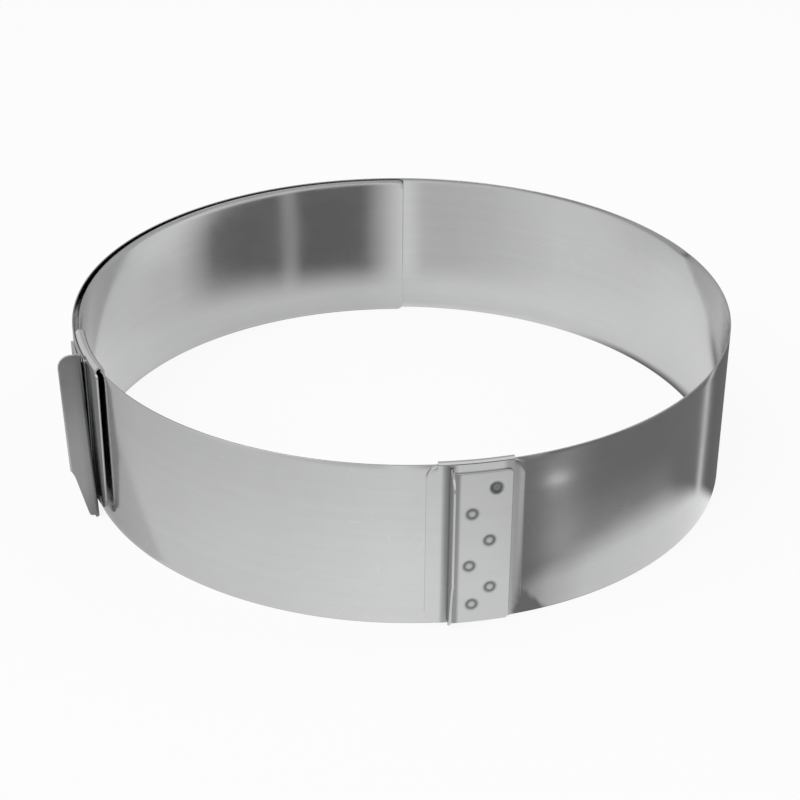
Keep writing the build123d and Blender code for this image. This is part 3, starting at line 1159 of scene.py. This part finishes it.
@dataclass
class CakeRing:
    """The whole ring: the strip, and at each of its two grips a hooked plate and a folded fin."""

    plan: CoilPlan = field(default_factory=CoilPlan)
    height: float = 60.0 * MM
    plate_thickness: float = 0.7 * MM
    seat: float = 0.05 * MM
    base_width: float = 32.3 * MM
    base_margin: float = 7.4 * MM
    guide_width: float = 35.0 * MM
    guide_margin: float = 9.6 * MM
    guide_foot: float = 4.6 * MM
    guide_clearance: float = 0.75 * MM
    guide_drop: float = 0.8 * MM
    grip_width: float = 19.1 * MM
    bend_radius: float = 0.8 * MM
    outer_lean: float = 4.4
    outer_head: float = 61.0 * MM

    def front_centre(self) -> tuple[float, float]:
        """Centre of the front link, from the place of the hinge at its end."""
        hinge = next(each for each in frame["joints"] if each["name"] == "ring_size")
        end = self.plan.front_angle + self.plan.front_span / 2
        radius = self.plan.rest_radius - self.plan.thickness / 2
        return polar(-radius, end, (hinge["pos_m"][0], hinge["pos_m"][1]))

    def build(self) -> None:
        """Builds the strip, the plates and the grips."""
        effects = SteelEffects()
        finishes = STRIP_STEEL, PLATE_STEEL, GRIP_STEEL
        strip_steel, plate_steel, grip_steel = (each.build(effects) for each in finishes)
        front = self.front_centre()
        Strip(self.plan, front).build(strip_steel)
        half = self.plan.thickness / 2
        fold = self.bend_radius + self.plate_thickness
        base_face = self.plan.rest_radius + self.seat + self.plate_thickness
        half_base = arc_angle(self.base_width / 2, base_face)
        base_start, base_end = self.plan.front_angle - half_base, self.plan.front_angle + half_base
        # painted shade on the base plate beside the fixed grip's fin and along the grip's far edge
        near_corner_shade = CornerShade(self.base_margin, width=2.9 * MM, depth=0.58)
        far_corner_shade = CornerShade(self.base_margin + fold + self.grip_width, width=3.4 * MM, depth=0.36)
        HookedPlate(
            "base_sheet", "base_plate", "front", front, base_face, base_start, base_end,
            fold_level=self.height, head_radius=4.6 * MM, slot=self.plan.thickness + 2 * self.seat,
            hook_margin=3.7 * MM, flat_end=3.9 * MM, corner_shades=(near_corner_shade, far_corner_shade),
        ).build(plate_steel)
        fixed_face = base_face + self.seat
        fixed_fold = base_start + arc_angle(self.base_margin + fold, fixed_face)
        FingerGrip(
            "front_grip", "fixed_grip", "front", front, fixed_face, fixed_fold, side=1,
        ).build(grip_steel)
        end_centre = self.plan.centre(front, self.plan.count - 1)
        end_radius = float(self.plan.radii[-1])
        guide_face = end_radius - half - self.seat
        guide_end = self.plan.outer_end + arc_angle(self.guide_margin + fold, guide_face)
        guide_start = guide_end - arc_angle(self.guide_width, guide_face)
        slot = self.plan.pitch + self.guide_clearance - self.seat - self.plate_thickness
        # painted shade on the guide plate in the corner beside the sliding grip
        guide_corner_shade = CornerShade(self.guide_width - self.guide_margin, width=4.5 * MM, depth=0.66)
        HookedPlate(
            "guide_sheet", "guide_plate", "outer_end", end_centre, guide_face, guide_start, guide_end,
            fold_level=self.height - self.guide_drop, head_radius=1.6 * MM, slot=slot,
            hook_margin=1.8 * MM, foot=self.guide_foot, corner_shades=(guide_corner_shade,),
        ).build(plate_steel)
        end_face = end_radius + half
        sag = end_face * (1 - math.cos(math.radians(self.outer_lean / 2)))
        FingerGrip(
            "sliding_grip", "outer_grip", "outer_end", end_centre, end_face + self.seat + sag,
            self.plan.outer_end, side=-1, lean=self.outer_lean, head=self.outer_head,
        ).build(grip_steel)


@dataclass(frozen=True)
class Light:
    """A soft light shape in the dark room, as a bell curve of the turn that mirrors it."""

    turn: float
    width: float
    strength: float

    def at(self, turn: Array) -> Array:
        """Shade that it adds at each turn."""
        return self.strength * bell(turn - self.turn, self.width)


STRIP_LIGHT = Light(turn=332.1, width=1.3, strength=0.5)
GLOW_LIGHT = Light(turn=296.5, width=4.0, strength=0.12)
PATCH_LIGHT = Light(turn=295.6, width=2.1, strength=0.9)


def studio_material(name: str) -> tuple[bpy.types.Material, Graph]:
    """Starts an empty material for the studio."""
    material = bpy.data.materials.new(name)
    material.use_nodes = True
    material.node_tree.nodes.clear()
    return material, Graph(material.node_tree)


def finish_mix(
    graph: Graph, share: bpy.types.NodeSocket, first: bpy.types.Node, second: bpy.types.Node,
) -> None:
    """Ends a material with a mix of two shaders."""
    mixed = graph.add("ShaderNodeMixShader", {0: share, 1: first.outputs[0], 2: second.outputs[0]})
    output = graph.add("ShaderNodeOutputMaterial")
    graph.tree.links.new(mixed.outputs[0], output.inputs[0])


@dataclass
class Studio:
    """Pale floor, soft lamps, and the camera at the photograph's angle.

    Tables pair a turn with a shade or a level, spans give where a soft step
    starts and ends, and levels on the wall are in millimetres.
    """

    ring_centre: tuple[float, float] = (0.00002, 0.003857)
    ring_radius: float = 119.324 * MM
    focal_pixels: float = 1910.38
    tilt: float = 0.500166
    yaw: float = -0.014626
    roll: float = 0.0081018
    place: tuple[float, float, float] = (0.07408, -5.30496, 3.05397)
    frame_pixels: float = 800.0
    floor_size: float = 12.0
    floor_white: float = 0.88
    room_shade: float = 0.21
    far_shade: float = 0.92
    wedge_slope: float = 2.3
    wedge_turn: float = 294.7
    wedge_soft: float = 0.7
    room_start: tuple[float, float] = (288.2, 289.4)
    rise_dimming: float = 0.12
    rise_levels: tuple[float, float] = (10.0, 60.0)
    corner_dimming: float = 0.18
    foot_glow: float = 0.10
    foot_levels: tuple[float, float] = (26.0, 46.0)
    foot_start: tuple[float, float] = (291.0, 298.0)
    foot_end: tuple[float, float] = (316.0, 324.0)
    glow_levels: tuple[float, float] = (12.0, 24.0)
    patch_level: float = 49.0
    patch_height: float = 1.4
    right_dimming: float = 0.055
    right_start: tuple[float, float] = (333.5, 337.0)
    front_half: tuple[float, float] = (125.0, 150.0)
    card_start: float = 0.040
    card_step: float = 0.003
    wall_radius: float = 0.118
    card_reach: float = 0.1615
    card_rings: int = 90
    card_growth: float = 1.4
    card_fade: tuple[float, float] = (0.235, 0.275)
    middle_fade: tuple[float, float] = (0.066, 0.100)
    sheet_shades: tuple[tuple[float, float], ...] = (
        (204.0, 0.56), (212.0, 0.62), (222.0, 0.76), (235.0, 0.84), (250.0, 0.90), (270.0, 1.0),
        (288.5, 0.96), (290.5, 0.34), (295.0, 0.62), (302.0, 0.82), (320.0, 0.88), (336.0, 1.0),
    )
    sheet_edge: tuple[tuple[float, float], ...] = (
        (288.0, 8.0), (295.0, 15.0), (302.0, 19.0), (310.0, 22.5), (320.0, 23.0), (328.0, 18.0),
        (334.0, 12.0), (340.0, 3.0), (346.0, -6.0),
    )
    sheet_soft: tuple[tuple[float, float], ...] = (
        (288.0, 3.0), (300.0, 9.0), (320.0, 9.0), (330.0, 4.0), (345.0, 3.0),
    )
    inner_shades: tuple[tuple[float, float], ...] = (
        (0.0, 0.90), (30.0, 0.93), (60.0, 0.92), (85.0, 0.86), (100.0, 0.76), (130.0, 0.76), (150.0, 0.84),
        (180.0, 0.88), (240.0, 0.90), (360.0, 0.90),
    )

    def camera(self) -> None:
        """Makes the camera: it looks down by the tilt, turned by the yaw and rolled a little."""
        tilt, yaw, roll = self.tilt, self.yaw, self.roll
        ahead = Vector((math.sin(yaw) * math.cos(tilt), math.cos(yaw) * math.cos(tilt), -math.sin(tilt)))
        right = Vector((math.cos(yaw), -math.sin(yaw), 0.0))
        up = right.cross(ahead)
        sine, cosine = math.sin(roll), math.cos(roll)
        right, up = right * cosine + up * sine, up * cosine - right * sine
        data = bpy.data.cameras.new("camera")
        data.sensor_width = 36.0
        data.lens = self.focal_pixels / self.frame_pixels * data.sensor_width
        data.clip_start, data.clip_end = 0.01, 100.0
        camera = bpy.data.objects.new("camera", data)
        turn = Matrix((right, up, -ahead)).transposed().to_4x4()
        spot = Vector(self.place) * self.ring_radius + Vector((*self.ring_centre, 0.0))
        camera.matrix_world = Matrix.Translation(spot) @ turn
        bpy.context.scene.collection.objects.link(camera)
        bpy.context.scene.camera = camera

    def floor(self) -> None:
        """Makes the pale floor: nearly plain white to the camera, with the ring's soft shadow on it."""
        half = self.floor_size / 2
        mesh = bpy.data.meshes.new("floor")
        corners = [(-half, -half, 0.0), (half, -half, 0.0), (half, half, 0.0), (-half, half, 0.0)]
        mesh.from_pydata(corners, [], [(0, 1, 2, 3)])
        material, graph = studio_material("pale_floor")
        matt = graph.add("ShaderNodeBsdfDiffuse", {"Color": (0.9, 0.9, 0.9, 1.0)})
        white = graph.add("ShaderNodeEmission", {"Color": WHITE, "Strength": 1.0})
        path = graph.add("ShaderNodeLightPath")
        finish_mix(graph, graph.times(path.outputs["Is Camera Ray"], self.floor_white), matt, white)
        mesh.materials.append(material)
        floor = bpy.data.objects.new("floor", mesh)
        floor.visible_glossy = False
        bpy.context.scene.collection.objects.link(floor)

    def apron(self) -> None:
        """Makes the apron: a flat glowing card round the ring's foot that only gloss shows, in place of the
        floor, whose shades paint the reflections that the steel shows.

        Outside the ring its shade follows the place on the wall that mirrors
        it, and inside it is light at the wall and fades towards the middle.
        Its rings are closest at the wall and spread outwards by a power.
        """
        inner = np.arange(self.card_start, self.wall_radius, self.card_step)
        spread = np.linspace(0.0, 1.0, self.card_rings) ** self.card_growth
        radii = np.concatenate([inner, self.wall_radius + 0.5 * MM + self.card_reach * spread])
        angles = np.arange(0.0, 360.0, 0.75)
        r, a = np.meshgrid(radii, angles, indexing="ij")
        outside = r > self.wall_radius
        turn, level = self.mirror_place(r, a)
        shade = np.where(outside, self.floor_shade(turn, level, a), self.inner_shade(r, a))
        cover = np.where(outside, 1 - smooth_step(r, *self.card_fade), smooth_step(r, *self.middle_fade))
        x = self.ring_centre[0] + r * np.cos(np.radians(a))
        y = self.ring_centre[1] + r * np.sin(np.radians(a))
        points = np.stack([x, y, np.full_like(x, 0.0002)], axis=-1).reshape(-1, 3)
        index = np.arange(r.size).reshape(r.shape)
        ring = np.roll(index, -1, axis=1)
        faces = np.stack([index[:-1], index[1:], ring[1:], ring[:-1]], axis=-1).reshape(-1, 4)
        mesh = bpy.data.meshes.new("apron")
        mesh.from_pydata(points.tolist(), [], faces.tolist())
        for name, values in (("cover", cover), ("shade", shade)):
            mark = mesh.attributes.new(name, "FLOAT", "POINT")
            mark.data.foreach_set("value", values.astype(np.float32).ravel())
        material, graph = studio_material("studio_apron")
        cover_value = graph.add("ShaderNodeAttribute", attribute_name="cover").outputs["Fac"]
        shade_value = graph.add("ShaderNodeAttribute", attribute_name="shade").outputs["Fac"]
        glow = graph.add("ShaderNodeEmission", {"Color": WHITE, "Strength": shade_value})
        finish_mix(graph, cover_value, graph.add("ShaderNodeBsdfTransparent"), glow)
        mesh.materials.append(material)
        card = bpy.data.objects.new("apron", mesh)
        card.visible_camera = card.visible_diffuse = card.visible_shadow = card.visible_transmission = False
        bpy.context.scene.collection.objects.link(card)

    def mirror_place(self, radius: Array, angle: Array) -> tuple[Array, Array]:
        """Finds where the ring's outer wall mirrors each floor point to the camera.

        At that turn the wall's normal halves the angle between the ways to the
        camera and to the point, and it is found by halving a span of turns. The
        light comes down evenly over both ways, which gives the level.

        Args:
            radius: Distances of the floor points from the ring's centre.
            angle: Their angles in degrees.

        Returns:
            The turn in degrees and the height on the wall, in metres.
        """
        spot = np.array(self.place) * self.ring_radius

        def ahead(turn: Array) -> Array:
            """Direction at a turn."""
            return np.stack([np.cos(np.radians(turn)), np.sin(np.radians(turn))], axis=-1)

        point = radius[..., None] * ahead(angle)

        def ways(turn: Array) -> tuple[Array, Array, Array]:
            """Normal at a turn, and the ways from there to the camera and to the point."""
            normal = ahead(turn)
            return normal, spot[:2] - normal * self.ring_radius, point - normal * self.ring_radius

        low, high = np.full_like(radius, 181.0), np.full_like(radius, 359.0)
        for _ in range(24):
            middle = (low + high) / 2
            normal, out, back = ways(middle)
            both = sum(way / np.linalg.norm(way, axis=-1, keepdims=True) for way in (out, back))
            side = normal[..., 0] * both[..., 1] - normal[..., 1] * both[..., 0]
            low, high = np.where(side > 0, middle, low), np.where(side > 0, high, middle)
        _, out, back = ways((low + high) / 2)
        far, near = np.linalg.norm(out, axis=-1), np.linalg.norm(back, axis=-1)
        return (low + high) / 2, spot[2] * near / (far + near)

    def floor_shade(self, turn: Array, level: Array, angle: Array) -> Array:
        """Shade of the floor outside the ring, as the wall mirrors it.

        A white sheet lies round the ring, and the dark room shows past its
        edge, which the wall mirrors at a level that changes with the turn. A
        wedge of the room comes down to the foot beside the front plates, and to
        the left of them the sheet has no edge. A slim light strip stands in the
        dark room, and near the plates a faint glow with a small light patch in
        it. Behind the ring the floor has one even shade.

        Args:
            turn: Turn of the wall that mirrors the point.
            level: Height there, in metres.
            angle: Angle of the floor point itself.

        Returns:
            The shade.
        """
        level = level / MM
        white = np.interp(turn, *zip(*self.sheet_shades))
        white = white * (1 - self.rise_dimming * smooth_step(level, *self.rise_levels))
        white = white * (1 - self.corner_dimming * smooth_step(228.0 - 0.3 * level - turn, 0.0, 3.0))
        edge = np.interp(turn, *zip(*self.sheet_edge))
        soft = np.interp(turn, *zip(*self.sheet_soft))
        past = smooth_step(level, edge - soft, edge + soft)
        under = self.wedge_slope * (self.wedge_turn - turn) - level
        wedge = smooth_step(under, -self.wedge_soft, self.wedge_soft)
        past = np.maximum(past, wedge) * smooth_step(turn, *self.room_start)
        foot = self.foot_glow * (1 - smooth_step(level, *self.foot_levels))
        foot = foot * smooth_step(turn, *self.foot_start) * (1 - smooth_step(turn, *self.foot_end))
        glow = (GLOW_LIGHT.at(turn) + foot) * smooth_step(level, *self.glow_levels)
        patch = PATCH_LIGHT.at(turn) * bell(level - self.patch_level, self.patch_height)
        room = self.room_shade - self.right_dimming * smooth_step(turn, *self.right_start)
        shade = white + (room + STRIP_LIGHT.at(turn) + glow + patch - white) * past
        ahead = 1 - smooth_step(np.abs((angle - 90.0) % 360.0 - 180.0), *self.front_half)
        return self.far_shade + (shade - self.far_shade) * ahead

    def inner_shade(self, radius: Array, angle: Array) -> Array:
        """Shade inside the ring: lighter at the right and darker near the far wall at the left."""
        return np.interp(angle, *zip(*self.inner_shades)) * (1 - 0.06 * smooth_step(radius, 0.100, 0.117))

    def world(self) -> None:
        """Makes the surroundings: white to the camera, soft as a light, and to gloss a half-dark room.

        The room's shade follows the compass direction of the ray, as stops of
        a colour ramp: light at the left and back, dark at the right front.
        Rays that go upwards meet a ceiling, lighter to the left and the front.
        """
        world = bpy.data.worlds.new("studio")
        world.use_nodes = True
        world.node_tree.nodes.clear()
        graph = Graph(world.node_tree)
        parts = graph.add("ShaderNodeSeparateXYZ", {0: graph.add("ShaderNodeTexCoord").outputs["Generated"]})
        compass = graph.math("ARCTAN2", parts.outputs[1], parts.outputs[0])
        share = graph.math("ADD", graph.math("DIVIDE", compass, 2 * math.pi), 0.5)
        ramp = graph.add("ShaderNodeValToRGB", {0: share})
        self.fill_ramp(ramp.color_ramp)
        above = graph.ramp(parts.outputs[2], -0.05, 0.15, 0.0, 1.0)
        left = graph.ramp(parts.outputs[0], -0.5, -0.15, 0.85, 0.6)
        front = graph.ramp(parts.outputs[1], -0.2, 0.3, 1.0, 0.6)
        room = graph.tint(above, ramp.outputs[0], graph.math("MAXIMUM", left, front))
        path = graph.add("ShaderNodeLightPath")
        gloss = graph.math("MAXIMUM", path.outputs["Is Glossy Ray"], path.outputs["Is Transmission Ray"])
        lit = graph.tint(gloss, (0.6, 0.6, 0.6, 1.0), room)
        seen = graph.tint(path.outputs["Is Camera Ray"], lit, WHITE)
        sky = graph.add("ShaderNodeBackground", {"Color": seen, "Strength": 1.0})
        output = graph.add("ShaderNodeOutputWorld")
        graph.tree.links.new(sky.outputs[0], output.inputs[0])
        bpy.context.scene.world = world

    @staticmethod
    def fill_ramp(ramp: bpy.types.ColorRamp) -> None:
        """Sets the room's shade at compass directions in degrees, from -180 to 180."""
        stops = (
            (-180.0, 0.85), (-150.0, 0.85), (-125.0, 0.72), (-108.0, 0.66), (-97.0, 0.66), (-90.0, 0.94),
            (-86.0, 0.80), (-80.0, 0.48), (-74.0, 0.18), (-49.5, 0.16), (-46.0, 0.40), (-43.0, 0.40),
            (-39.5, 0.17), (-12.0, 0.18), (-4.0, 0.42), (6.0, 0.64), (30.0, 0.66), (48.0, 0.45),
            (75.0, 0.60), (110.0, 0.75), (180.0, 0.85),
        )
        for number, (degrees, shade) in enumerate(stops):
            spot = (degrees + 180.0) / 360.0
            stop = ramp.elements[number] if number < 2 else ramp.elements.new(spot)
            stop.position = spot
            stop.color = (shade, shade, shade, 1.0)

    def lamp(self, name: str, spot: tuple[float, float, float], size: float, power: float) -> None:
        """Makes a soft square lamp that shines at the ring."""
        data = bpy.data.lights.new(name, "AREA")
        data.shape = "SQUARE"
        data.size = size
        data.energy = power
        lamp = bpy.data.objects.new(name, data)
        lamp.location = spot
        lamp.rotation_mode = "QUATERNION"
        lamp.rotation_quaternion = (-Vector(spot)).to_track_quat("-Z", "Y")
        bpy.context.scene.collection.objects.link(lamp)

    def build(self) -> None:
        """Builds the studio."""
        self.camera()
        self.floor()
        self.apron()
        self.world()
        self.lamp("key", spot=(-0.9, -0.7, 1.6), size=1.2, power=12.0)
        self.lamp("fill", spot=(1.2, 0.4, 1.5), size=1.2, power=5.0)
        bpy.context.scene.view_settings.view_transform = "Standard"
        log.info("studio: camera, floor, lamps")


def main() -> None:
    """Builds the ring and its studio."""
    logging.basicConfig(level=logging.INFO, format="%(name)s %(message)s")
    CakeRing().build()
    Studio().build()


if __name__ == "__main__":
    main()
